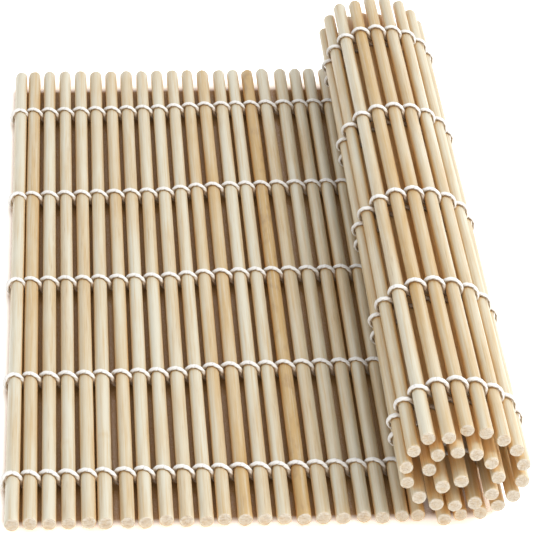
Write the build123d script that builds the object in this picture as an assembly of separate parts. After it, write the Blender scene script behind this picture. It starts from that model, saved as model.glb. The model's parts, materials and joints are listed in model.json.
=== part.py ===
from build123d import *
import os
from math import cos, radians, sin, sqrt

# All lengths are in millimetres and all angles in degrees. The sticks run along Y, with their front ends at -Y.

# Sticks
STICK_DIAMETER = 3.4
STICK_LENGTH = 240.0
STICK_END_ROUND = 0.35
FLAT_STICKS = 21

# How far the mat turns from each stick to the next, from the last flat stick to the inner end of the roll.
ROLL_BENDS = (
    1, 1, 1, 11, 20, 21, 21, 26, 25, 19,
    16, 14, 12, 23, 26, 24, 31, 30, 22, 16,
    21, 31, 41, 38, 26, 24, 37, 58, 70, 70,
)
# The mat was rolled a little askew, so each stick of the roll stands this much further forward than the last.
ROLL_CREEP = 0.18

# Twine. A row is one cord, doubled round the first stick, with a knot behind the last.
TWINE_DIAMETER = 1.1
# How far back along the first stick each row of twine is, as a share of the stick's length.
ROW_SHARES = (0.073, 0.265, 0.463, 0.671, 0.894)
# A row isn't quite square to the sticks: over the flat part it moves back this much from each stick to the next.
ROW_DRIFT = 0.14
KNOT_DIAMETER = 2.6
# Where the mat lies on the table, its twine is pressed flat to this depth.
TWINE_FLAT_DEPTH = 0.1

# Clearances between the twine and a stick, and between the two strands of a row.
WRAP_CLEARANCE = 0.1
STRAND_CLEARANCE = 0.1

STICK_COUNT = FLAT_STICKS + len(ROLL_BENDS)
# The strands pass each other in the gap between two sticks, so the gap is as wide as one strand and its clearances.
PITCH = STICK_DIAMETER + TWINE_DIAMETER + 2 * WRAP_CLEARANCE
WRAP_RADIUS = PITCH / 2
LANE_OFFSET = (TWINE_DIAMETER + STRAND_CLEARANCE) / 2
KNOT_REACH = (STICK_DIAMETER + KNOT_DIAMETER) / 2 + WRAP_CLEARANCE
OVER, UNDER = 1, -1


def heading(angle):
    """The unit vector that points this far up from +X, in the plane of the stick ends."""
    return Vector(cos(radians(angle)), 0, sin(radians(angle)))


def find_stick_turns():
    """How far each stick is turned from where it would lie in a flat mat."""
    turns = [0.0] * FLAT_STICKS
    for bend in ROLL_BENDS:
        turns.append(turns[-1] + bend)
    return turns


def find_stick_centres():
    """The middle of each stick's front end, with neighbours one pitch apart and the first stick at the origin."""
    centres = [Vector(0, 0, 0)]
    for before, after in zip(STICK_TURNS, STICK_TURNS[1:]):
        creep = ROLL_CREEP if len(centres) >= FLAT_STICKS else 0
        centres.append(centres[-1] + PITCH * heading((before + after) / 2) - Vector(0, creep, 0))
    return centres


STICK_TURNS = find_stick_turns()
STICK_CENTRES = find_stick_centres()
ROW_DRIFTS = [Vector(0, ROW_DRIFT * min(number, FLAT_STICKS - 1), 0) for number in range(STICK_COUNT)]
# Where a row that starts at the front ends crosses the middle of each stick.
CROSSINGS = [centre + drift for centre, drift in zip(STICK_CENTRES, ROW_DRIFTS)]


def make_stick(number):
    """A round stick with softened ends, which runs back from its front end."""
    plane = Plane(origin=STICK_CENTRES[number - 1], z_dir=(0, 1, 0))
    stick = extrude(plane * Circle(STICK_DIAMETER / 2), STICK_LENGTH)
    return fillet(stick.edges().filter_by(GeomType.CIRCLE), STICK_END_ROUND)


def find_gaps():
    """The middle of each gap that a row crosses, and how far the mat has turned there, from in front of the first stick to
    the knot behind the last."""
    gaps = [(CROSSINGS[0] - WRAP_RADIUS * heading(STICK_TURNS[0]), STICK_TURNS[0])]
    for number in range(1, STICK_COUNT):
        middle = (CROSSINGS[number - 1] + CROSSINGS[number]) / 2
        gaps.append((middle, (STICK_TURNS[number - 1] + STICK_TURNS[number]) / 2))
    gaps.append((CROSSINGS[-1] + KNOT_REACH * heading(STICK_TURNS[-1]), STICK_TURNS[-1]))
    return gaps


def find_strand(first_side):
    """Points along one strand, each with the strand's direction there, from the first stick to the knot behind the last.
    The strand goes over one stick and under the next. It is in front of its crossing where it goes down through a gap,
    and behind it where it comes up."""
    strand = []
    side = first_side
    for gap, turn in find_gaps():
        lane = side * LANE_OFFSET if strand else 0
        strand.append((gap + Vector(0, lane, 0), side * heading(turn + 90)))
        side = -side
    return strand


def make_half_turn(start, start_direction, end, end_direction):
    """Two arcs that run smoothly into each other, and have these directions where they start and end."""
    chord = end - start
    both = chord.dot(start_direction + end_direction)
    apart = 1 - start_direction.dot(end_direction)
    reach = (sqrt(both**2 + 2 * apart * chord.dot(chord)) - both) / (2 * apart)
    middle = (start + reach * start_direction + end - reach * end_direction) / 2
    first = Edge.make_tangent_arc(start, start_direction, middle)
    return first, Edge.make_tangent_arc(middle, first % 1, end)


def make_row_path():
    """One cord's route, from the knot in along one strand, round the first stick, and back along the other."""
    inward = [(point, -direction) for point, direction in reversed(find_strand(OVER))]
    points = inward + find_strand(UNDER)[1:]
    arcs = []
    for start, end in zip(points, points[1:]):
        arcs += make_half_turn(*start, *end)
    return Wire(arcs)


def make_row():
    """A row of twine at the sticks' front ends: one cord with its knot, flat where it meets the table."""
    path = make_row_path()
    section = Plane(origin=path @ 0, z_dir=path % 0) * Circle(TWINE_DIAMETER / 2)
    knot_place = CROSSINGS[-1] + KNOT_REACH * heading(STICK_TURNS[-1])
    cord = sweep(section, path) + Pos(knot_place) * Sphere(KNOT_DIAMETER / 2)
    table = Plane.XY.offset(cord.bounding_box().min.Z + TWINE_FLAT_DEPTH)
    return split(cord, bisect_by=table, keep=Keep.TOP)


def build_nodes():
    """Every stick and every row of twine, by name, where they lie in the mat."""
    nodes = {}
    for number in range(1, STICK_COUNT + 1):
        nodes[f"stick_{number:02d}"] = make_stick(number)
    row = make_row()
    for number, share in enumerate(ROW_SHARES, 1):
        nodes[f"twine_row_{number}"] = Pos(0, share * STICK_LENGTH, 0) * row
    return nodes


NODES = build_nodes()
BOX = Compound(list(NODES.values())).bounding_box()
# The origin is under the middle of the mat, on the table.
TO_ORIGIN = Vector(-BOX.center().X, -BOX.center().Y, -BOX.min.Z)

os.makedirs("parts", exist_ok=True)
for name, solid in NODES.items():
    export_step(Pos(TO_ORIGIN) * solid, f"parts/{name}.step")
print("size", BOX.size, "pitch", PITCH)
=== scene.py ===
"""A sushi rolling mat: round bamboo sticks held side by side by five rows of twisted cotton twine."""

import json
import math

import bpy
import numpy as np
from mathutils import Matrix, Vector

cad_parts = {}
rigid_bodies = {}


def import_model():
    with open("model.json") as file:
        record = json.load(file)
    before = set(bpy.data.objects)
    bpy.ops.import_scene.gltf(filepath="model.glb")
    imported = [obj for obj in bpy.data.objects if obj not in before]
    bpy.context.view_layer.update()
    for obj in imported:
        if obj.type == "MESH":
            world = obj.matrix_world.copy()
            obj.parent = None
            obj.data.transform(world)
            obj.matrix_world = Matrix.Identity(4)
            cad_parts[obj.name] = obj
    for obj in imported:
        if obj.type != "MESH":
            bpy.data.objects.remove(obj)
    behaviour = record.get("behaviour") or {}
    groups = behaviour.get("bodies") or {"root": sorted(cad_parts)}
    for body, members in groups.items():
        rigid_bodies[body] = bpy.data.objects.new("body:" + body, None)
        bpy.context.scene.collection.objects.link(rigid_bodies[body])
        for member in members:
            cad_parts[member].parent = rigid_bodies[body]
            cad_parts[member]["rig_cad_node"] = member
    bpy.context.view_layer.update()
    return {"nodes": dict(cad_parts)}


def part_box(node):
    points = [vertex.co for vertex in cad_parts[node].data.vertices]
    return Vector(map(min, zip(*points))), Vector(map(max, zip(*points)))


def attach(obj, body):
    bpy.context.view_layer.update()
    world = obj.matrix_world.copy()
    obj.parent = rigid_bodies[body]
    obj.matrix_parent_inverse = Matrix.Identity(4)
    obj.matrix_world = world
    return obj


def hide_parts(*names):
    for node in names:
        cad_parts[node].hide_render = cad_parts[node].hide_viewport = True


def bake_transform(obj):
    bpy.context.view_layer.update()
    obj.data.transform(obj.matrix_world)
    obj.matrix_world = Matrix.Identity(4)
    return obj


bl_info = {
    "name": "Sushi rolling mat",
    "version": (1, 0, 0),
    "blender": (4, 5, 0),
    "location": "3D View > Sidebar > Rolling mat",
    "description": "Makes the sticks, twine and knots of a sushi rolling mat, with a stage to show it on",
    "category": "Add Mesh",
}

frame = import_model()


def step_angles(steps):
    """The direction of each step from a stick to the next, in the plane of the stick ends, with one more for
    before the first stick and one for after the last."""
    angles = np.unwrap(np.arctan2(steps[..., 2], steps[..., 0]), axis=-1)
    after = 1.5 * angles[..., -1:] - 0.5 * angles[..., -2:-1]
    return np.concatenate([angles[..., :1], angles, after], axis=-1)


STICK_NAMES = sorted(name for name in frame["nodes"] if name.startswith("stick_"))
ROW_NAMES = sorted(name for name in frame["nodes"] if name.startswith("twine_row_"))
STICK_BOXES = np.array([[list(corner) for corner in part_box(name)] for name in STICK_NAMES])
STICK_COUNT = len(STICK_NAMES)
STICK_RADIUS = float(STICK_BOXES[0, 1, 0] - STICK_BOXES[0, 0, 0]) / 2
STICK_LENGTH = float(STICK_BOXES[0, 1, 1] - STICK_BOXES[0, 0, 1])
# The middle of each stick's front end.
FRONTS = STICK_BOXES.mean(axis=1) - np.array([0, STICK_LENGTH / 2, 0])
STEPS = FRONTS[1:] - FRONTS[:-1]
PITCH = float(np.hypot(STEPS[0, 0], STEPS[0, 2]))
ANGLES = step_angles(STEPS)
LEVEL_ANGLE = math.radians(0.2)
FLAT_STICKS = int(np.sum(np.abs(ANGLES[1:-1]) < LEVEL_ANGLE)) + 1

# How honey-coloured each stick is: 0 is the palest cream and 1 the darkest honey.
TONE_SHARES = (
    0.10, 0.55, 0.12, 0.10, 0.32, 0.28, 0.35, 0.15, 0.12, 0.20,
    0.16, 0.50, 0.62, 0.12, 0.15, 1.00, 0.28, 0.20, 0.30, 0.22,
    0.30, 0.42, 0.35, 0.45, 0.38, 0.30, 0.25, 0.20, 0.28, 0.18,
    0.24, 0.30, 0.55, 0.62, 0.18, 0.40, 0.48, 0.30, 0.22, 0.35,
    0.40, 0.45, 0.38, 0.42, 0.50, 0.40, 0.35, 0.45, 0.38, 0.42,
    0.36,
)
# How far some sticks' front ends and back ends stand to the right of their even places, as shares of the
# pitch.
FRONT_NUDGE_SHARES = {1: 0.12, 6: -0.14, 8: -0.08, 9: -0.05, 12: -0.06, 19: 0.08, 22: -0.15, 23: 0.13}
BACK_NUDGE_SHARES = {1: 0.17, 14: 0.08, 16: -0.07, 17: -0.07, 18: 0.10, 19: 0.10}
# How far some sticks have slipped forward in the twine, as shares of the pitch.
FORWARD_SHARES = {23: 0.30, 34: 0.50, 48: -0.35, 49: -0.50}


# ---- settings ----


class StickSettings(bpy.types.PropertyGroup):
    """The shape and colours of the bamboo sticks."""

    seed: bpy.props.IntProperty(
        name="Seed", description="Chooses the small differences from stick to stick", default=7, min=0,
    )
    scales: bpy.props.FloatVectorProperty(
        name="Scales", description="The thinnest and the thickest stick, as shares of the usual diameter",
        size=2, default=(1.01, 1.075),
    )
    bow: bpy.props.FloatProperty(
        name="Bow", description="The most that a stick bends away from straight", default=0.00022, unit="LENGTH",
    )
    twist: bpy.props.FloatProperty(
        name="Twist", description="How far the back of the roll is turned from its front",
        default=math.radians(5.0), subtype="ANGLE",
    )
    end_tilt: bpy.props.FloatProperty(
        name="End tilt", description="The most that a cut end is out of square",
        default=math.radians(6.0), subtype="ANGLE",
    )
    stagger: bpy.props.FloatProperty(
        name="Stagger", description="How far a stick's ends may stand back from the mat's edge",
        default=0.0009, unit="LENGTH",
    )
    oval: bpy.props.FloatProperty(
        name="Oval", description="How far a stick is from round, as a share of its radius",
        default=0.022, subtype="FACTOR",
    )
    node_height: bpy.props.FloatProperty(
        name="Node height", description="How far the swelling at a bamboo node stands out",
        default=0.00012, unit="LENGTH",
    )
    end_round: bpy.props.FloatProperty(
        name="End rounding", description="The radius of the worn edge round a cut end",
        default=0.00022, unit="LENGTH",
    )
    pale: bpy.props.FloatVectorProperty(
        name="Pale", description="The colour of the palest bamboo",
        size=3, default=(0.548, 0.517, 0.420), subtype="COLOR",
    )
    honey: bpy.props.FloatVectorProperty(
        name="Honey", description="The colour of the darkest bamboo",
        size=3, default=(0.45, 0.305, 0.130), subtype="COLOR",
    )
    cut: bpy.props.FloatVectorProperty(
        name="Cut end", description="The colour of a cut end", size=3, default=(0.500, 0.458, 0.385), subtype="COLOR",
    )
    fibre: bpy.props.FloatVectorProperty(
        name="Fibre", description="The colour of the fibres in a cut end and of dark streaks",
        size=3, default=(0.27, 0.165, 0.085), subtype="COLOR",
    )


class TwineSettings(bpy.types.PropertyGroup):
    """The shape and colour of the cotton twine."""

    seed: bpy.props.IntProperty(
        name="Seed", description="Chooses how the loose fibres lie", default=11, min=0,
    )
    row_shares: bpy.props.FloatVectorProperty(
        name="Row places", description="How far back each row is along the first stick, as a share of it",
        size=5, default=(0.0805, 0.2680, 0.4700, 0.6710, 0.8880),
    )
    row_rises: bpy.props.FloatVectorProperty(
        name="Row rises", description="How much further back each row is over the right half of the flat part",
        size=5, default=(0.0, 0.0018, 0.0015, 0.0026, 0.0013), unit="LENGTH",
    )
    row_roll_rises: bpy.props.FloatVectorProperty(
        name="Row rises on the roll", description="How much further back each row is on the roll",
        size=5, default=(-0.0018, -0.0009, -0.0010, -0.0008, -0.0005), unit="LENGTH",
    )
    row_drift: bpy.props.FloatProperty(
        name="Row drift", description="How far back a row moves from each flat stick to the next",
        default=0.00014, unit="LENGTH",
    )
    width: bpy.props.FloatProperty(
        name="Width", description="The width of the twine along the stick", default=0.00145, unit="LENGTH",
    )
    thickness: bpy.props.FloatProperty(
        name="Thickness", description="The thickness of the twine where it is drawn tight over a stick",
        default=0.00095, unit="LENGTH",
    )
    gap_thickness: bpy.props.FloatProperty(
        name="Thickness in a gap", description="The thickness of the twine between two sticks",
        default=0.00125, unit="LENGTH",
    )
    lane: bpy.props.FloatProperty(
        name="Lane", description="How far each strand is from the middle of its row where the two pass",
        default=0.0009, unit="LENGTH",
    )
    ply_depth: bpy.props.FloatProperty(
        name="Groove depth",
        description="The depth of the grooves between the plies, as a share of the twine's radius",
        default=0.3, subtype="FACTOR",
    )
    twist_length: bpy.props.FloatProperty(
        name="Twist length", description="The length in which the plies turn once", default=0.0046, unit="LENGTH",
    )
    knot_radius: bpy.props.FloatProperty(
        name="Knot radius", description="The radius of the end knots", default=0.0013, unit="LENGTH",
    )
    colour: bpy.props.FloatVectorProperty(
        name="Colour", description="The colour of the cotton", size=3, default=(0.71, 0.70, 0.685), subtype="COLOR",
    )


class StageSettings(bpy.types.PropertyGroup):
    """The floor, the lights and the camera."""

    floor: bpy.props.FloatVectorProperty(
        name="Floor", description="The colour of the floor", size=3, default=(0.93, 0.93, 0.93), subtype="COLOR",
    )
    # The floor's painted shade close under the mat, and how far from the mat it starts.
    shade: bpy.props.FloatVectorProperty(
        name="Shade", description="The colour of the floor close under the mat",
        size=3, default=(0.40, 0.235, 0.085), subtype="COLOR",
    )
    shade_reach: bpy.props.FloatProperty(
        name="Shade reach", description="How far from the mat the floor starts to darken",
        default=0.006, unit="LENGTH",
    )
    # The floor's glow is painted light: the floor emits light, though it is no lamp.
    floor_glow: bpy.props.FloatProperty(
        name="Floor glow", description="How brightly the floor is lit from below", default=0.50,
    )
    sky: bpy.props.FloatProperty(
        name="Sky", description="How bright the light from all round is", default=1.05,
    )
    key: bpy.props.FloatProperty(
        name="Key light", description="The power of the large light at the upper right", default=7.0, unit="POWER",
    )
    fill: bpy.props.FloatProperty(
        name="Fill light", description="The power of the large light in front", default=5.0, unit="POWER",
    )
    camera_place: bpy.props.FloatVectorProperty(
        name="Camera place", description="Where the camera stands",
        size=3, default=(-0.0436, -0.6982, 0.4109), subtype="XYZ", unit="LENGTH",
    )
    camera_pitch: bpy.props.FloatProperty(
        name="Camera pitch", description="How far the camera looks down",
        default=math.radians(30.11), subtype="ANGLE",
    )
    camera_yaw: bpy.props.FloatProperty(
        name="Camera yaw", description="How far the camera is turned to the right of straight ahead",
        default=math.radians(4.18), subtype="ANGLE",
    )
    camera_roll: bpy.props.FloatProperty(
        name="Camera roll", description="How far the camera leans", default=math.radians(1.20), subtype="ANGLE",
    )
    lens: bpy.props.FloatProperty(
        name="Lens", description="The focal length on a 36 mm sensor, in millimetres", default=199.45,
    )


# ---- meshes from arrays ----


def tube_faces(tubes, rings, around):
    """Faces of several closed tubes. A tube is rings of points round its path, and a middle point closes each
    end. The rings' points come first, tube by tube, and then the two middle points of each tube.
    Returns (quads between neighbouring rings, triangles from the middle points to the first and last rings)."""
    tube, ring, place = np.meshgrid(np.arange(tubes), np.arange(rings - 1), np.arange(around), indexing="ij")
    beside = (place + 1) % around
    base = (tube * rings + ring) * around
    corners = [base + place, base + beside, base + around + beside, base + around + place]
    quads = np.stack(corners, axis=-1).reshape(-1, 4)
    tube, place = np.meshgrid(np.arange(tubes), np.arange(around), indexing="ij")
    beside = (place + 1) % around
    middle = tubes * rings * around + 2 * tube
    first, last = tube * rings * around, (tube * rings + rings - 1) * around
    front = np.stack([middle, first + beside, first + place], axis=-1)
    back = np.stack([middle + 1, last + place, last + beside], axis=-1)
    return quads, np.concatenate([front.reshape(-1, 3), back.reshape(-1, 3)])


def make_piece(name, points, faces, material, values, flat_ends):
    """One mesh object at the origin from an array of points and its four-sided and three-sided faces. values are
    named numbers, one for each point, and flat_ends leaves the triangles unsmoothed. The faces are turned
    outwards: the volume inside them, summed over their corners, is positive."""
    quads, triangles = faces
    halves = np.concatenate([quads[:, [0, 1, 2]], quads[:, [0, 2, 3]], triangles])
    first, second, third = points[halves.T]
    if np.sum(first * np.cross(second, third)) < 0:
        quads, triangles = quads[:, ::-1], triangles[:, ::-1]
    mesh = bpy.data.meshes.new(name)
    mesh.vertices.add(len(points))
    mesh.vertices.foreach_set("co", points.astype(np.float32).ravel())
    corners = np.concatenate([quads.ravel(), triangles.ravel()]).astype(np.int32)
    starts = np.concatenate([np.arange(len(quads)) * 4, len(quads) * 4 + np.arange(len(triangles)) * 3])
    mesh.loops.add(len(corners))
    mesh.loops.foreach_set("vertex_index", corners)
    mesh.polygons.add(len(starts))
    mesh.polygons.foreach_set("loop_start", starts.astype(np.int32))
    mesh.update(calc_edges=True)
    if flat_ends:
        sharp = mesh.attributes.new("sharp_face", "BOOLEAN", "FACE")
        sharp.data.foreach_set("value", np.arange(len(starts)) >= len(quads))
    for key, numbers in values.items():
        attribute = mesh.attributes.new(key, "FLOAT", "POINT")
        attribute.data.foreach_set("value", np.asarray(numbers, np.float32).ravel())
    mesh.materials.append(material)
    piece = bpy.data.objects.new(name, mesh)
    bpy.context.scene.collection.objects.link(piece)
    return piece


def remove_pieces(prefix):
    """Takes away the pieces that an earlier run of the same operator made."""
    for piece in list(bpy.data.objects):
        if piece.name.startswith(prefix) and piece.type == "MESH" and "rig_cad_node" not in piece:
            bpy.data.objects.remove(piece)


# ---- materials ----

# The bamboo's colour is multiplied by the first deep in a gap, which paints warm bounce light and shade there,
# and by the second inside the rim of a cut end.
PAINTED_GAP_BOUNCE_TINT = (1.42, 1.08, 0.64)
CUT_MIDDLE_TINT = (0.78, 0.70, 0.60)
# The cotton's colours in the grooves between its plies (painted shade), on its duller fibres, and deep in a
# gap (painted shade).
GROOVE_SHADE_COLOUR = (0.50, 0.46, 0.40)
DULL_COLOUR = (0.66, 0.63, 0.58)
TWINE_GAP_SHADE_COLOUR = (0.34, 0.24, 0.13)
BLACK = (0.0, 0.0, 0.0)
# The floor's painted shade starts this far inside the mat's front and back edges, and is full at twice as far.
SHADE_EDGE = 0.003
# The rays that find how open a place is.
OPENNESS_SAMPLES = 8


class Shader:
    """A material's nodes, made one after another from left to right."""

    def __init__(self, name, roughness, specular):
        self.material = bpy.data.materials.new(name)
        self.material.use_nodes = True
        self.tree = self.material.node_tree
        self.surface = self.tree.nodes["Principled BSDF"]
        self.surface.inputs["Roughness"].default_value = roughness
        self.surface.inputs["Specular IOR Level"].default_value = specular

    def add(self, kind, settings=None, **links):
        """A node of this kind. Each link is an input's name with underscores for spaces, or an underscore and
        its number, and is a number, a colour or a socket."""
        node = self.tree.nodes.new("ShaderNode" + kind)
        for key, value in (settings or {}).items():
            setattr(node, key, value)
        for key, value in links.items():
            place = int(key[1:]) if key[0] == "_" and key[1:].isdigit() else key.replace("_", " ")
            self.put(node.inputs[place], value)
        return node

    def put(self, place, value):
        """Joins a socket to an input, or sets the input to a number or colour."""
        if isinstance(value, bpy.types.NodeSocket):
            self.tree.links.new(value, place)
        else:
            place.default_value = (*value, 1.0) if place.type == "RGBA" else value

    def stretched(self, scale):
        """Object coordinates, scaled by this much along X, Y and Z."""
        place = self.add("TexCoord").outputs["Object"]
        return self.add("Mapping", Vector=place, Scale=scale).outputs["Vector"]

    def noise(self, place, detail, roughness=0.55):
        """A noise from 0 to 1 at these coordinates."""
        node = self.add("TexNoise", Vector=place, Scale=1.0, Detail=detail, Roughness=roughness)
        return node.outputs["Fac"]

    def grain(self, across, along, detail, roughness=0.55):
        """A noise from 0 to 1 that changes about this often in a metre across the sticks and along them."""
        return self.noise(self.stretched((across, along, across)), detail, roughness)

    def ramp(self, value, low, high, bottom=0.0, top=1.0):
        """value, spread so that low becomes bottom and high becomes top, and kept between them."""
        links = {"From_Min": low, "From_Max": high, "To_Min": bottom, "To_Max": top}
        return self.add("MapRange", {"clamp": True}, Value=value, **links).outputs["Result"]

    def named(self, name):
        """A number that the mesh carries at each point."""
        return self.add("Attribute", {"attribute_name": name}).outputs["Fac"]

    def math(self, operation, first, second):
        """Two numbers joined by one operation."""
        return self.add("Math", {"operation": operation}, _0=first, _1=second).outputs[0]

    def mix(self, share, first, second, blend="MIX"):
        """Two colours mixed: share 0 gives the first and 1 the second."""
        node = self.add("Mix", {"data_type": "RGBA", "blend_type": blend}, _0=share, _6=first, _7=second)
        return node.outputs[2]

    def deep(self, reach, open_share, closed_share):
        """How deep in a gap the surface is: 0 where this share of its surroundings within reach is open, and 1
        where only the closed share is."""
        node = self.add("AmbientOcclusion", {"samples": OPENNESS_SAMPLES}, Distance=reach)
        return self.ramp(node.outputs["AO"], open_share, closed_share)

    def bump(self, height, distance, strength):
        """Small relief: the surface tilts as if it were raised by height times distance."""
        node = self.add("Bump", Strength=strength, Distance=distance, Height=height)
        self.put(self.surface.inputs["Normal"], node.outputs["Normal"])


def make_bamboo(settings):
    """Bamboo: pale cream to honey by each stick's tone, fine streaks along it, dotted fibres in its cut ends,
    and painted warm bounce light and shade deep in the gaps."""
    bamboo = Shader("bamboo", roughness=0.42, specular=0.62)
    pale, honey, fibre = settings.pale, settings.honey, settings.fibre
    tone = bamboo.named("tone")
    cut = bamboo.named("cut")
    broad = bamboo.grain(across=330, along=16, detail=3)
    streak = bamboo.grain(across=2100, along=34, detail=4, roughness=0.65)
    hair = bamboo.grain(across=5200, along=120, detail=2)
    cloud = bamboo.grain(across=120, along=45, detail=3)
    blotch = bamboo.grain(across=420, along=130, detail=4)

    drift = bamboo.ramp(broad, 0.34, 0.66, bottom=-0.26, top=0.32)
    cloudy = bamboo.ramp(cloud, 0.35, 0.7, bottom=-0.08, top=0.16)
    share = bamboo.math("ADD", bamboo.math("ADD", tone, drift), cloudy)
    wood = bamboo.mix(bamboo.ramp(share, 0.0, 1.0), pale, honey)
    wood = bamboo.mix(bamboo.ramp(streak, 0.50, 0.68, top=0.55), wood, honey)
    wood = bamboo.mix(bamboo.ramp(streak, 0.48, 0.34, top=0.45), wood, pale)
    # only the honey sticks are mottled
    mottle = bamboo.math("MULTIPLY", bamboo.ramp(blotch, 0.52, 0.68, top=0.5), bamboo.ramp(tone, 0.55, 1.0))
    wood = bamboo.mix(mottle, wood, fibre)
    fleck = bamboo.math("MULTIPLY", bamboo.ramp(hair, 0.56, 0.72, top=0.5), bamboo.ramp(broad, 0.48, 0.62))
    wood = bamboo.mix(fleck, wood, fibre)
    wood = bamboo.mix(bamboo.ramp(bamboo.named("node"), 0.35, 1.0, top=0.28), wood, honey)

    dots = bamboo.add("TexVoronoi", Vector=bamboo.stretched((2700, 900, 2700)), Scale=1.0).outputs["Distance"]
    scratch = bamboo.noise(bamboo.stretched((900, 500, 3600)), detail=3)
    stain = bamboo.grain(across=800, along=300, detail=3)
    face = bamboo.mix(bamboo.ramp(dots, 0.50, 0.15, top=0.40), settings.cut, fibre)
    face = bamboo.mix(bamboo.ramp(scratch, 0.50, 0.66, top=0.45), face, fibre)
    face = bamboo.mix(bamboo.ramp(stain, 0.45, 0.70, top=0.35), face, honey)
    inner = bamboo.ramp(bamboo.named("rim"), 0.80, 0.60, top=0.45)
    face = bamboo.mix(inner, face, bamboo.mix(1.0, face, CUT_MIDDLE_TINT, blend="MULTIPLY"))
    colour = bamboo.mix(cut, wood, face)
    # painted warm bounce light and shade: deep in a gap the wood is made brighter in red and darker in blue
    deep = bamboo.deep(0.008, open_share=0.66, closed_share=0.22)
    colour = bamboo.mix(deep, colour, bamboo.mix(1.0, colour, PAINTED_GAP_BOUNCE_TINT, blend="MULTIPLY"))
    bamboo.put(bamboo.surface.inputs["Base Color"], colour)

    relief = bamboo.math("ADD", bamboo.math("MULTIPLY", streak, 0.6), bamboo.math("MULTIPLY", hair, 0.4))
    pits = bamboo.math("MULTIPLY", cut, bamboo.ramp(dots, 0.1, 0.5))
    bamboo.bump(bamboo.math("ADD", relief, pits), distance=0.00009, strength=0.6)
    return bamboo.material


def make_cotton(settings):
    """Cotton: white, rough and softly bright at its edges, with fine fibres that lie along each ply, and painted
    shade in its grooves and deep in the gaps."""
    cotton = Shader("cotton", roughness=0.92, specular=0.15)
    surface = cotton.surface
    surface.inputs["Sheen Weight"].default_value = 0.25
    surface.inputs["Sheen Roughness"].default_value = 0.5
    around = cotton.math("MULTIPLY", cotton.named("around"), 26.0)
    along = cotton.math("MULTIPLY", cotton.named("along"), 2600.0)
    place = cotton.add("CombineXYZ", X=around, Y=along, Z=0.0).outputs["Vector"]
    fibre = cotton.noise(place, detail=3)
    # painted shade in the grooves between the plies
    groove = cotton.ramp(cotton.named("height"), 0.6, 0.0, top=0.5)
    colour = cotton.mix(groove, settings.colour, GROOVE_SHADE_COLOUR)
    colour = cotton.mix(cotton.ramp(fibre, 0.4, 0.75, top=0.12), colour, DULL_COLOUR)
    # painted shade deep in a gap, where the strands pass between the sticks
    deep = cotton.deep(0.004, open_share=0.70, closed_share=0.36)
    colour = cotton.mix(cotton.math("MULTIPLY", deep, 0.9), colour, TWINE_GAP_SHADE_COLOUR)
    cotton.put(surface.inputs["Base Color"], colour)
    cotton.bump(fibre, distance=0.00006, strength=0.8)
    return cotton.material


def make_floor_finish(settings):
    """A plain pale matte floor with painted shade, darker and warmer, where the sticks lie close over it, between
    their front ends and their back ends, and which glows a little elsewhere, as painted light that also lights the
    mat from below."""
    floor = Shader("floor", roughness=0.8, specular=0.1)
    # painted shade: the floor is darker and warmer where the mat lies close over it
    close = floor.deep(settings.shade_reach, open_share=0.72, closed_share=0.42)
    place = floor.add("TexCoord").outputs["Object"]
    back = floor.add("SeparateXYZ", Vector=place).outputs["Y"]
    front_edge = float(FRONTS[:FLAT_STICKS, 1].mean())
    back_edge = front_edge + STICK_LENGTH
    behind_front = floor.ramp(back, front_edge + SHADE_EDGE, front_edge + 2 * SHADE_EDGE)
    before_back = floor.ramp(back, back_edge - SHADE_EDGE, back_edge - 2 * SHADE_EDGE)
    painted_floor_shade = floor.math("MULTIPLY", close, floor.math("MULTIPLY", behind_front, before_back))
    floor.put(floor.surface.inputs["Base Color"], floor.mix(painted_floor_shade, settings.floor, settings.shade))
    # painted light: the floor glows everywhere but in its painted shade
    floor.put(floor.surface.inputs["Emission Color"], floor.mix(painted_floor_shade, settings.floor, BLACK))
    floor.surface.inputs["Emission Strength"].default_value = settings.floor_glow
    return floor.material


# ---- sticks ----

STICK_RINGS = 72
STICK_AROUND = 30
# The rings of points on a cut face, and how far each ring of the worn edge round it counts as cut.
CUT_RING_SHARES = (0.25, 0.5, 0.75, 0.93)
EDGE_CUT_SHARES = (1.0, 0.7, 0.25, 0.0, 0.0)
# The thinnest and the thickest worn edge, as shares of the usual one.
EDGE_SCALE_SHARES = (0.7, 1.25)
# The roll's twist starts where the mat has turned by the first angle, and grows over the second.
TWIST_START = math.radians(4)
TWIST_SPAN = math.radians(86)
# How far a stick swells in a long and in a short wave, how deep its flats are, and how uneven the rim of a cut
# is, as shares of its radius. The last is how far from the cut the rim is uneven, in metres.
LONG_WAVE_SHARE = 0.010
SHORT_WAVE_SHARE = 0.008
FLATS_SHARE = 0.008
RIM_SHARE = 0.014
RIM_REACH = 0.0008
# What share of the sticks show a bamboo node, how wide its swelling is, and where along the stick it can be.
NODE_CHANCE = 0.45
NODE_WIDTH = 0.0016
NODE_PLACE_SHARES = (0.08, 0.92)
# How rough and how domed a cut face is, and how ragged its edge.
CUT_ROUGHNESS = 0.00003
CUT_DOME = 0.00006
EDGE_ROUGHNESS = 0.00004
TONE_SPREAD = 0.03


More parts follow.
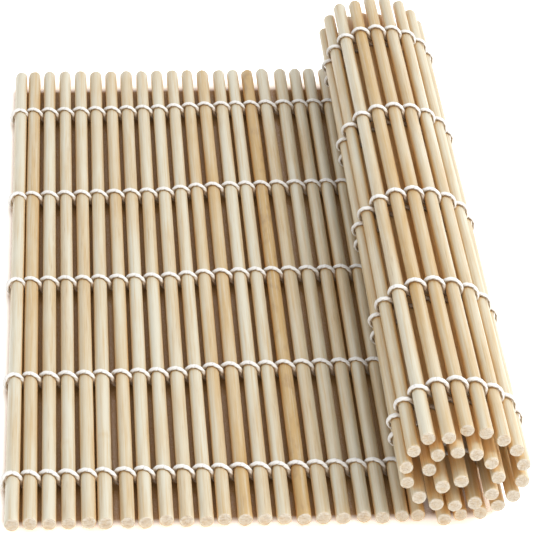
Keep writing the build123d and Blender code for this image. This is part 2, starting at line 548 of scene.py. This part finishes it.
def stick_profile(end_round):
    """The profile of a stick from the middle of its front end to the middle of its back end: for each ring, its
    place along the stick from 0 to 1, its inset from there in metres, its radius as a share, and how far it is
    on a cut face. The worn edge is a quarter circle: it goes in by end_round times one minus the cosine of the
    way along it."""
    edge = 1 - end_round / STICK_RADIUS
    turn = np.linspace(0, math.pi / 2, len(EDGE_CUT_SHARES))
    end_inset = np.concatenate([np.zeros(len(CUT_RING_SHARES)), end_round * (1 - np.cos(turn))])
    end_radius = np.concatenate([np.array(CUT_RING_SHARES) * edge, edge + (1 - edge) * np.sin(turn)])
    end_cut = np.concatenate([np.ones(len(CUT_RING_SHARES)), EDGE_CUT_SHARES])
    side = np.linspace(0, 1, STICK_RINGS + 2)[1:-1]
    place = np.concatenate([np.zeros(len(end_inset)), side, np.ones(len(end_inset))])
    # the side rings run between the two worn edges
    inset = np.concatenate([end_inset, end_round * (1 - 2 * side), -end_inset[::-1]])
    radius = np.concatenate([end_radius, np.ones(len(side)), end_radius[::-1]])
    on_cut = np.concatenate([end_cut, np.zeros(len(side)), end_cut[::-1]])
    return place, inset, radius, on_cut


def stick_scales(settings):
    """How thick each stick is, as a share of the usual diameter."""
    return np.random.default_rng(settings.seed).uniform(*settings.scales, STICK_COUNT)


def stick_ends(settings):
    """The middles of every stick's front end and back end. The back of the roll is turned about the roll's
    middle by the twist, and the first sticks of the roll take up the turn little by little: their share of it
    is three squares less two cubes of how far on they are."""
    fronts = FRONTS.copy()
    backs = FRONTS + np.array([0, STICK_LENGTH, 0])
    for ends, shares in ((fronts, FRONT_NUDGE_SHARES), (backs, BACK_NUDGE_SHARES)):
        for number, share in shares.items():
            ends[number - 1, 0] += share * PITCH
    for number, share in FORWARD_SHARES.items():
        fronts[number - 1, 1] -= share * PITCH
        backs[number - 1, 1] -= share * PITCH
    turned = np.clip((ANGLES[:-1] - TWIST_START) / TWIST_SPAN, 0, 1)
    twist = settings.twist * turned * turned * (3 - 2 * turned)
    middle = FRONTS[FLAT_STICKS:].mean(axis=0)
    x, z = backs[:, 0] - middle[0], backs[:, 2] - middle[2]
    backs[:, 0] = middle[0] + x * np.cos(twist) - z * np.sin(twist)
    backs[:, 2] = middle[2] + x * np.sin(twist) + z * np.cos(twist)
    return fronts, backs


def stick_middles(settings, shares):
    """Every stick's middle line at shares of its length: sticks by shares by XYZ. It runs straight between the
    stick's ends, plus a bow: the bow's size times half a sine wave, less six tenths, and half of that up and
    down."""
    random = np.random.default_rng(settings.seed + 1)
    size = settings.bow * random.uniform(-1, 1, (STICK_COUNT, 1))
    way = random.uniform(0, 2 * math.pi, (STICK_COUNT, 1))
    fronts, backs = stick_ends(settings)
    middles = fronts[:, None] + shares[..., None] * (backs - fronts)[:, None]
    bow = size * (np.sin(math.pi * np.clip(shares, 0, 1)) - 0.6)
    middles[..., 0] += bow * np.cos(way)
    middles[..., 2] += bow * np.sin(way) / 2
    return middles


def stick_arrays(number, settings):
    """One stick as a tube round its middle line. Its radius is the stick's, times two waves along it, an oval,
    a few flats and a swelling at its bamboo node. Its cut faces are out of square, slightly domed and rough,
    with a ragged rim."""
    random = np.random.default_rng(settings.seed * 1000 + number)
    ends = -settings.stagger * random.random(2) ** 1.5
    end_round = settings.end_round * random.uniform(*EDGE_SCALE_SHARES)
    place, inset, share, on_cut = stick_profile(end_round)
    length = STICK_LENGTH + ends[0] + ends[1]
    y = place * length - ends[0] + inset
    angle = np.linspace(0, 2 * math.pi, STICK_AROUND, endpoint=False)
    y_grid, angle_grid = np.meshgrid(y, angle, indexing="ij")
    phases = random.uniform(0, 2 * math.pi, 12)
    along = y_grid / STICK_LENGTH * 2 * math.pi
    wave = LONG_WAVE_SHARE * np.sin(1.3 * along + phases[0])
    wave = wave + SHORT_WAVE_SHARE * np.sin(3.1 * along + phases[1])
    oval = settings.oval * np.cos(2 * angle_grid + phases[2] + 0.5 * np.sin(0.8 * along + phases[3]))
    flats = FLATS_SHARE * np.cos(5 * angle_grid + phases[4] + 0.7 * np.sin(along + phases[5]))
    node_place = random.uniform(*NODE_PLACE_SHARES) * STICK_LENGTH
    node_size = settings.node_height * (random.random() < NODE_CHANCE) * random.uniform(0.5, 1.0)
    node_side = 0.55 + 0.45 * np.cos(angle_grid - phases[6])
    node_shape = np.exp(-(((y_grid - node_place) / NODE_WIDTH) ** 2)) * node_side
    radius = STICK_RADIUS * stick_scales(settings)[number] * (1 + wave + oval + flats) + node_size * node_shape
    radius = radius * share[:, None]
    # the rim of a cut is uneven, and less so further from it
    from_end = np.minimum(y - y[0], y[-1] - y)[:, None]
    rim = sum(np.cos(waves * angle_grid + phase) for waves, phase in zip((3, 7, 4), phases[7:10]))
    radius = radius * (1 + RIM_SHARE * rim * np.exp(-from_end / RIM_REACH))
    rough = random.normal(0, CUT_ROUGHNESS, y_grid.shape) * (on_cut > 0.5)[:, None]
    dome = CUT_DOME * (1 - (share / share.max()) ** 2) * (on_cut > 0.5)
    outward = np.where(place < 0.5, -1, 1)
    tilt = np.tan(settings.end_tilt * random.uniform(-1, 1, 2))
    front_shear = tilt[0] * (1 - place)[:, None] * np.cos(angle_grid + phases[10])
    back_shear = tilt[1] * place[:, None] * np.cos(angle_grid + phases[11])
    y_grid = y_grid + (outward * dome)[:, None] + rough + radius * (front_shear + back_shear)
    ragged = random.normal(0, EDGE_ROUGHNESS, y_grid.shape) * ((on_cut > 0) & (on_cut < 1))[:, None]
    radius = radius + ragged
    middle = stick_middles(settings, (y / STICK_LENGTH)[None])[number]
    x_grid = middle[:, :1] + radius * np.cos(angle_grid)
    z_grid = middle[:, 2:] + radius * np.sin(angle_grid)
    start = stick_ends(settings)[0][number, 1]
    points = np.stack([x_grid, start + y_grid, z_grid], axis=-1)
    end_middles = np.stack([points[0].mean(axis=0), points[-1].mean(axis=0)])
    tone = TONE_SHARES[number]
    # each value on the rings, and at the middles of the two ends
    values = {
        "tone": (np.full(points.shape[:2], tone + random.uniform(-TONE_SPREAD, TONE_SPREAD)), tone),
        "cut": (np.repeat(on_cut[:, None], STICK_AROUND, axis=1), 1.0),
        "rim": (np.repeat(share[:, None], STICK_AROUND, axis=1), 0.0),
        "node": (node_shape * (node_size > 0), 0.0),
    }
    values = {key: np.concatenate([grid.ravel(), [end] * 2]) for key, (grid, end) in values.items()}
    return np.concatenate([points.reshape(-1, 3), end_middles]), values, points.shape[:2]


class MAT_OT_sticks(bpy.types.Operator):
    """Make every bamboo stick of the mat"""

    bl_idname = "mat.sticks"
    bl_label = "Make the sticks"

    def execute(self, context):
        settings = context.scene.mat_sticks
        remove_pieces("bamboo_stick_")
        material = make_bamboo(settings)
        for number, node in enumerate(STICK_NAMES):
            points, values, shape = stick_arrays(number, settings)
            piece = make_piece(
                f"bamboo_{node}", points, tube_faces(1, *shape), material, values, flat_ends=False,
            )
            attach(piece, node)
            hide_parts(node)
        return {"FINISHED"}


# ---- twine ----

STEPS_PER_STICK = 24
HALF_STICK = STEPS_PER_STICK // 2
CORD_AROUND = 18
# How far the twine's middle is from the stick that it is drawn tight over, as a share of its thickness.
SNUG_SHARE = 0.45
# Two shares of the way from each stick to the next. The twine operator works out a point at each, but nothing uses
# them.
BEND_SHARES = (0.3, 0.7)
# How far a loop round the first stick bulges, how far it leans forward, and how much thicker it is there.
LOOP_SLACK = 0.0003
LOOP_LEAN = 0.0011
LOOP_SWELL = 0.12
# A knot's space from the last stick, and as shares, its size, its reaches across and along the stick, and how
# thick its twine is.
KNOT_SPACE = 0.0001
KNOT_SIZE_SHARE = 0.3
KNOT_ACROSS_SHARE = 0.62
KNOT_ALONG_SHARE = 1.1
KNOT_TWINE_SHARE = 0.82
KNOT_STEPS = 73
# The loose fibres of a tail: how many, how finely they are made, and their sizes in metres.
TAIL_FIBRES = 46
TAIL_STEPS = 12
TAIL_AROUND = 5
TAIL_LENGTHS = (0.006, 0.0125)
TAIL_SPREAD = (0.00075, 0.0004, 0.00055)
TAIL_ROOT_SPREAD = 0.00022
TAIL_WAVE = 0.00016
TAIL_DROOP = (0.00016, 0, 0.0008)
FIBRE_RADIUS = 0.000055
FIBRE_TAPER_SHARE = 0.75


def row_crossings(settings, sticks):
    """Where each row crosses the middle line of each stick: rows by sticks by XYZ. Over the flat part a row
    moves back by the drift at each stick. It also steps back by its rise in the middle of the flat part, and by
    its rise on the roll where the roll starts to climb: each step is half of one plus a hyperbolic tangent."""
    number = np.arange(STICK_COUNT)
    drift = settings.row_drift * np.minimum(number, FLAT_STICKS - 1)
    flat_step = (1 + np.tanh(number - FLAT_STICKS / 2 + 0.5)) / 2
    roll_step = (1 + np.tanh((number - FLAT_STICKS - 4) / 3)) / 2
    back = np.array(settings.row_shares)[:, None] * STICK_LENGTH + drift + FRONTS[:, 1]
    back = back + np.array(settings.row_rises)[:, None] * flat_step
    back = back + np.array(settings.row_roll_rises)[:, None] * roll_step
    shares = (back - stick_ends(sticks)[0][:, 1]) / STICK_LENGTH
    crossings = stick_middles(sticks, shares.T).transpose(1, 0, 2)
    crossings[..., 1] = back
    return crossings


def tight_reaches(settings, sticks):
    """How far the twine's middle is from each stick's middle line where it is drawn tight."""
    return STICK_RADIUS * stick_scales(sticks) + SNUG_SHARE * settings.thickness


def strand_paths(settings, sticks):
    """The middle lines of every row's two strands: rows by strands by points by XYZ. With them, at each point,
    the direction out of the mat, and how far the point is in a gap, from 0 to 1.
    A strand goes round each stick, over one and under the next: its angle falls from the gap before to the gap
    after when it goes over, and rises when it goes under. It is drawn tight over a stick and a little looser
    under one, and in a gap it is half way between the two. Its place across the row is a cosine that is at one
    lane in one gap and at the other lane in the next."""
    crossings = row_crossings(settings, sticks)
    steps = crossings[:, 1:] - crossings[:, :-1]
    angles = step_angles(steps)
    halves = np.hypot(steps[..., 0], steps[..., 2]) / 2
    halves = np.concatenate([halves[:, :1], halves, halves[:, -1:]], axis=1)
    tight = tight_reaches(settings, sticks)
    share = np.arange(STEPS_PER_STICK) / STEPS_PER_STICK
    share = np.concatenate([np.tile(share, STICK_COUNT), [1.0]])
    stick = np.repeat(np.arange(STICK_COUNT), STEPS_PER_STICK)
    stick = np.append(stick, STICK_COUNT - 1)
    before, after = angles[:, stick], angles[:, stick + 1]
    half = np.where(share < 0.5, halves[:, stick], halves[:, stick + 1])
    here = crossings[:, stick]
    step_back = crossings[:, np.maximum(stick - 1, 0)]
    step_on = crossings[:, np.minimum(stick + 1, STICK_COUNT - 1)]
    slope = np.where(share < 0.5, (here - step_back)[..., 1], (step_on - here)[..., 1])
    in_gap = np.cos(math.pi * share) ** 4
    strands, tops = [], []
    for first_side in (1, -1):
        side = first_side * np.where(stick % 2 == 0, 1, -1)
        turned = np.where(side > 0, -(math.pi - (after - before)), math.pi + (after - before))
        angle = before + math.pi + turned * share
        snug = np.where(side > 0, tight[stick], PITCH / 2)
        reach = snug + (half - snug) * in_gap
        path = here.copy()
        path[..., 0] += reach * np.cos(angle)
        path[..., 2] += reach * np.sin(angle)
        path[..., 1] += side * settings.lane * np.cos(math.pi * share) + slope * (share - 0.5)
        strands.append(path)
        tops.append(np.stack([side * np.cos(angle), 0 * angle, side * np.sin(angle)], axis=-1))
    return np.stack(strands, axis=1), np.stack(tops, axis=1), in_gap


def path_sides(paths, tops):
    """Two directions square to each path at each point: one level and one towards the top that is given."""
    ahead = np.gradient(paths, axis=-2)
    ahead /= np.linalg.norm(ahead, axis=-1, keepdims=True)
    across = np.cross(ahead, tops)
    across /= np.linalg.norm(across, axis=-1, keepdims=True)
    return across, np.cross(across, ahead)


def twine_rings(paths, tops, settings, in_gap=0.0, swell=1.0):
    """A three-ply section carried along each path. At angle a round the section its radius is one, less the
    groove depth times how far a is from the nearest ply's crown, and the plies turn once in each twist length.
    The section is as wide and as thick as the settings say: in_gap is 1 where it has its thickness in a gap,
    and swell makes it larger. Returns the rings' points, and for each its place round and along the twine and
    its height."""
    across, up = path_sides(paths, tops)
    steps = np.linalg.norm(np.diff(paths, axis=-2), axis=-1)
    along = np.concatenate([np.zeros_like(steps[..., :1]), np.cumsum(steps, axis=-1)], axis=-1)
    angle = np.linspace(0, 2 * math.pi, CORD_AROUND, endpoint=False)
    turn = angle - along[..., None] * 2 * math.pi / settings.twist_length
    crown = np.abs(np.cos(1.5 * turn)) ** 0.7
    radius = (1 - settings.ply_depth * (1 - crown)) * np.expand_dims(swell, -1)
    wide = radius * np.cos(angle) * settings.width / 2
    thickness = settings.thickness + (settings.gap_thickness - settings.thickness) * in_gap
    thick = radius * np.sin(angle) * np.expand_dims(thickness, -1) / 2
    points = paths[..., None, :] + wide[..., None] * across[..., None, :] + thick[..., None] * up[..., None, :]
    along = np.repeat(along[..., None], CORD_AROUND, axis=-1)
    return points, {"around": turn / (2 * math.pi), "along": along, "height": crown}


def on_the_table(points):
    """The points with none below the table, so that the twine is pressed flat where the mat lies on it."""
    points[..., 2] = np.maximum(points[..., 2], 0.0)
    return points


def cord_piece(name, rings, facts, material):
    """A piece of several cords from their rings of points, with each open end closed by its middle."""
    tubes, count, around = rings.shape[:3]
    middles = np.stack([rings[:, 0].mean(axis=1), rings[:, -1].mean(axis=1)], axis=1)
    points = np.concatenate([rings.reshape(-1, 3), middles.reshape(-1, 3)])
    values = {key: np.concatenate([grid.reshape(-1), np.zeros(2 * tubes)]) for key, grid in facts.items()}
    piece = make_piece(name, points, tube_faces(tubes, count, around), material, values, flat_ends=True)
    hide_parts(*ROW_NAMES)
    return piece


class MAT_OT_twine(bpy.types.Operator):
    """Make the twine between the sticks: one piece of every row for each gap"""

    bl_idname = "mat.twine"
    bl_label = "Make the twine"

    def execute(self, context):
        settings, sticks = context.scene.mat_twine, context.scene.mat_sticks
        remove_pieces("twine_")
        material = bpy.data.materials.get("cotton") or make_cotton(settings)
        paths, tops, in_gap = strand_paths(settings, sticks)
        points, facts = twine_rings(paths, tops, settings, in_gap)
        points = on_the_table(points)
        for gap in range(STICK_COUNT - 1):
            first = gap * STEPS_PER_STICK + HALF_STICK
            part = slice(first, first + STEPS_PER_STICK + 1)
            rings = points[:, :, part].reshape(-1, STEPS_PER_STICK + 1, CORD_AROUND, 3)
            here, there = STICK_NAMES[gap], STICK_NAMES[gap + 1]
            name = f"twine_{here[-2:]}_{there[-2:]}"
            facts_here = {key: grid[:, :, part] for key, grid in facts.items()}
            piece = cord_piece(name, rings, facts_here, material)
            start, end = [FRONTS[gap] + share * STEPS[gap] for share in BEND_SHARES]
            start[1] = end[1] = 0
            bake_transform(piece)
        return {"FINISHED"}


class MAT_OT_twine_ends(bpy.types.Operator):
    """Make the loops of twine round the first stick, and the knots and frayed tails behind the last"""

    bl_idname = "mat.twine_ends"
    bl_label = "Make the twine's ends"

    def execute(self, context):
        settings, sticks = context.scene.mat_twine, context.scene.mat_sticks
        remove_pieces("loops_")
        remove_pieces("knots_")
        material = bpy.data.materials.get("cotton") or make_cotton(settings)
        crossings = row_crossings(settings, sticks)
        piece = self.make_loops(settings, sticks, crossings[:, 0], material)
        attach(piece, STICK_NAMES[0])
        out = np.array([math.cos(ANGLES[-1]), 0, math.sin(ANGLES[-1])])
        middles = crossings[:, -1] + (STICK_RADIUS + KNOT_SPACE + settings.knot_radius) * out
        for piece in (
            self.make_strand_ends(settings, sticks, material),
            self.make_knots(settings, middles, out, material),
            self.make_tails(settings, middles, material),
        ):
            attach(piece, STICK_NAMES[-1])
        return {"FINISHED"}

    def make_loops(self, settings, sticks, places, material):
        """Each row's cord round the outside of the first stick: a half circle from its top to its underside,
        which bulges and leans forward at its lower side, where the cord is slack."""
        share = np.linspace(0, 1, STEPS_PER_STICK + 1)
        angle = math.pi / 2 + math.pi * share
        slack = np.sin(math.pi * share) ** 2
        tight = tight_reaches(settings, sticks)[0]
        reach = tight + (PITCH / 2 - tight) * share + LOOP_SLACK * slack
        paths = np.repeat(places[:, None], len(share), axis=1)
        paths[..., 0] += reach * np.cos(angle)
        paths[..., 1] -= LOOP_LEAN * slack * share
        paths[..., 2] += reach * np.sin(angle)
        tops = np.stack([np.cos(angle), 0 * angle, np.sin(angle)], axis=-1)
        rings, facts = twine_rings(paths, tops, settings, slack, swell=1 + LOOP_SWELL * slack)
        return cord_piece("loops_first_stick", on_the_table(rings), facts, material)

    def make_strand_ends(self, settings, sticks, material):
        """Each row's two strands from the wound part of the last stick on round it to the knot."""
        paths, tops, in_gap = strand_paths(settings, sticks)
        last = slice(-HALF_STICK - 1, None)
        rings, facts = twine_rings(paths[:, :, last], tops[:, :, last], settings, in_gap[last])
        rings = rings.reshape(-1, HALF_STICK + 1, CORD_AROUND, 3)
        return cord_piece("knots_strand_ends", rings, facts, material)

    def make_knots(self, settings, middles, out, material):
        """Each row's small overhand knot behind the last stick, which is a trefoil: its middle line is sin t +
        2 sin 2t across, cos t - 2 cos 2t out from the stick and minus sin 3t along it."""
        side = np.array([-out[2], 0, out[0]])
        back = np.array([0, 1.0, 0])
        t = np.linspace(0, 2 * math.pi, KNOT_STEPS)
        size = settings.knot_radius * KNOT_SIZE_SHARE
        shape_across = size * (np.sin(t) + 2 * np.sin(2 * t)) * KNOT_ACROSS_SHARE
        shape_out = size * (np.cos(t) - 2 * np.cos(2 * t)) * KNOT_ACROSS_SHARE
        shape_along = -size * np.sin(3 * t) * KNOT_ALONG_SHARE
        knot = shape_across[:, None] * side + shape_out[:, None] * out + shape_along[:, None] * back
        tops = knot / np.linalg.norm(knot, axis=-1, keepdims=True)
        rings, facts = twine_rings(middles[:, None] + knot, tops, settings, swell=KNOT_TWINE_SHARE)
        return cord_piece("knots_last_stick", rings, facts, material)

    def make_tails(self, settings, middles, material):
        """A tail of loose fibres at each knot. Each starts in the knot, runs forward by its length, spreads by
        the way along it to the power of 1.4, droops by the square of that way, and waves a little."""
        random = np.random.default_rng(settings.seed)
        shape = (len(middles), TAIL_FIBRES, 3)
        way = np.linspace(0, 1, TAIL_STEPS)[:, None]
        length = random.uniform(*TAIL_LENGTHS, (*shape[:2], 1))
        spread = random.normal(0, 1, shape) * np.array(TAIL_SPREAD)
        root = random.normal(0, TAIL_ROOT_SPREAD, shape)
        wave = random.uniform(0, 2 * math.pi, shape)
        paths = middles[:, None, None] + root[:, :, None] + spread[:, :, None] * way**1.4
        paths = paths + TAIL_WAVE * way * np.sin(5 * way + wave[:, :, None])
        paths[..., 1] -= length * way[:, 0]
        paths = paths - way**2 * np.array(TAIL_DROOP)
        across, up = path_sides(paths, np.array([0, 0, 1.0]))
        angle = np.linspace(0, 2 * math.pi, TAIL_AROUND, endpoint=False)
        around = np.cos(angle)[:, None] * across[..., None, :] + np.sin(angle)[:, None] * up[..., None, :]
        thin = FIBRE_RADIUS * (1 - FIBRE_TAPER_SHARE * way[..., None])
        rings = (paths[..., None, :] + thin * around).reshape(-1, TAIL_STEPS, TAIL_AROUND, 3)
        facts = {key: np.ones(rings.shape[:3]) for key in ("around", "along", "height")}
        return cord_piece("knots_frayed_tails", rings, facts, material)


# ---- stage ----

LAMP_COLOUR = (1.0, 0.985, 0.96)
# Each lamp's name, which is its power's name in the settings too, its width and its place. All face the mat.
LAMPS = (("key", 0.6, (0.72, -0.20, 0.70)), ("fill", 1.0, (0.15, -1.25, 0.55)))
# How far the floor reaches each way, and how far it is under the mat.
FLOOR_REACH = 4.0
FLOOR_DEPTH = 0.00003
SENSOR_WIDTH = 36.0
DISPLAY_GAMMA = 0.9


class MAT_OT_stage(bpy.types.Operator):
    """Make the floor, the lights and the camera"""

    bl_idname = "mat.stage"
    bl_label = "Make the stage"

    def execute(self, context):
        scene, settings = context.scene, context.scene.mat_stage
        self.make_floor(scene, settings)
        self.make_lights(scene, settings)
        self.make_camera(scene, settings)
        view = scene.view_settings
        view.view_transform = "Standard"
        view.look = "None"
        view.gamma = DISPLAY_GAMMA
        return {"FINISHED"}

    def make_floor(self, scene, settings):
        """A wide flat floor just under the mat."""
        mesh = bpy.data.meshes.new("floor")
        signs = ((-1, -1), (1, -1), (1, 1), (-1, 1))
        corners = [(x * FLOOR_REACH, y * FLOOR_REACH, -FLOOR_DEPTH) for x, y in signs]
        mesh.from_pydata(corners, [], [(0, 1, 2, 3)])
        mesh.materials.append(make_floor_finish(settings))
        floor = bpy.data.objects.new("floor", mesh)
        scene.collection.objects.link(floor)

    def make_lights(self, scene, settings):
        """Even light from all round, a soft light at the upper right and a larger, weaker one in front."""
        world = bpy.data.worlds.new("studio")
        world.use_nodes = True
        background = world.node_tree.nodes["Background"]
        background.inputs["Color"].default_value = (1.0, 1.0, 1.0, 1.0)
        background.inputs["Strength"].default_value = settings.sky
        scene.world = world
        for name, size, place in LAMPS:
            light = bpy.data.lights.new(name, "AREA")
            light.shape = "DISK"
            light.size = size
            light.energy = getattr(settings, name)
            light.color = LAMP_COLOUR
            lamp = bpy.data.objects.new(name, light)
            lamp.location = place
            lamp.rotation_euler = (-lamp.location).to_track_quat("-Z", "Y").to_euler()
            scene.collection.objects.link(lamp)

    def make_camera(self, scene, settings):
        """The camera: forward is down by the pitch and right by the yaw, and it leans by the roll."""
        pitch, yaw, roll = settings.camera_pitch, settings.camera_yaw, settings.camera_roll
        level = math.cos(pitch)
        forward = Vector((math.sin(yaw) * level, math.cos(yaw) * level, -math.sin(pitch)))
        right = Vector((math.cos(yaw), -math.sin(yaw), 0))
        up = right.cross(forward)
        leaning_right = math.cos(roll) * right + math.sin(roll) * up
        leaning_up = math.cos(roll) * up - math.sin(roll) * right
        camera = bpy.data.objects.new("camera", bpy.data.cameras.new("camera"))
        camera.data.lens = settings.lens
        camera.data.sensor_width = SENSOR_WIDTH
        camera.data.clip_start, camera.data.clip_end = 0.01, 20.0
        turned = Matrix((leaning_right, leaning_up, -forward)).transposed().to_4x4()
        camera.matrix_world = Matrix.Translation(settings.camera_place) @ turned
        scene.collection.objects.link(camera)
        scene.camera = camera


# ---- the panel, and the run ----


class MAT_PT_panel(bpy.types.Panel):
    """The steps that make the mat, and their settings."""

    bl_idname = "MAT_PT_panel"
    bl_label = "Rolling mat"
    bl_space_type = "VIEW_3D"
    bl_region_type = "UI"
    bl_category = "Rolling mat"

    def draw(self, context):
        scene = context.scene
        steps = (
            (scene.mat_sticks, ("mat.sticks",)),
            (scene.mat_twine, ("mat.twine", "mat.twine_ends")),
            (scene.mat_stage, ("mat.stage",)),
        )
        for settings, operators in steps:
            box = self.layout.box()
            for key in settings.__annotations__:
                box.prop(settings, key)
            for operator in operators:
                box.operator(operator)


CLASSES = (
    StickSettings, TwineSettings, StageSettings,
    MAT_OT_sticks, MAT_OT_twine, MAT_OT_twine_ends, MAT_OT_stage, MAT_PT_panel,
)


def register():
    for kind in CLASSES:
        bpy.utils.register_class(kind)
    bpy.types.Scene.mat_sticks = bpy.props.PointerProperty(type=StickSettings)
    bpy.types.Scene.mat_twine = bpy.props.PointerProperty(type=TwineSettings)
    bpy.types.Scene.mat_stage = bpy.props.PointerProperty(type=StageSettings)


def unregister():
    del bpy.types.Scene.mat_sticks, bpy.types.Scene.mat_twine, bpy.types.Scene.mat_stage
    for kind in reversed(CLASSES):
        bpy.utils.unregister_class(kind)


def main():
    register()
    bpy.ops.mat.sticks()
    bpy.ops.mat.twine()
    bpy.ops.mat.twine_ends()
    bpy.ops.mat.stage()


if __name__ == "__main__":
    main()
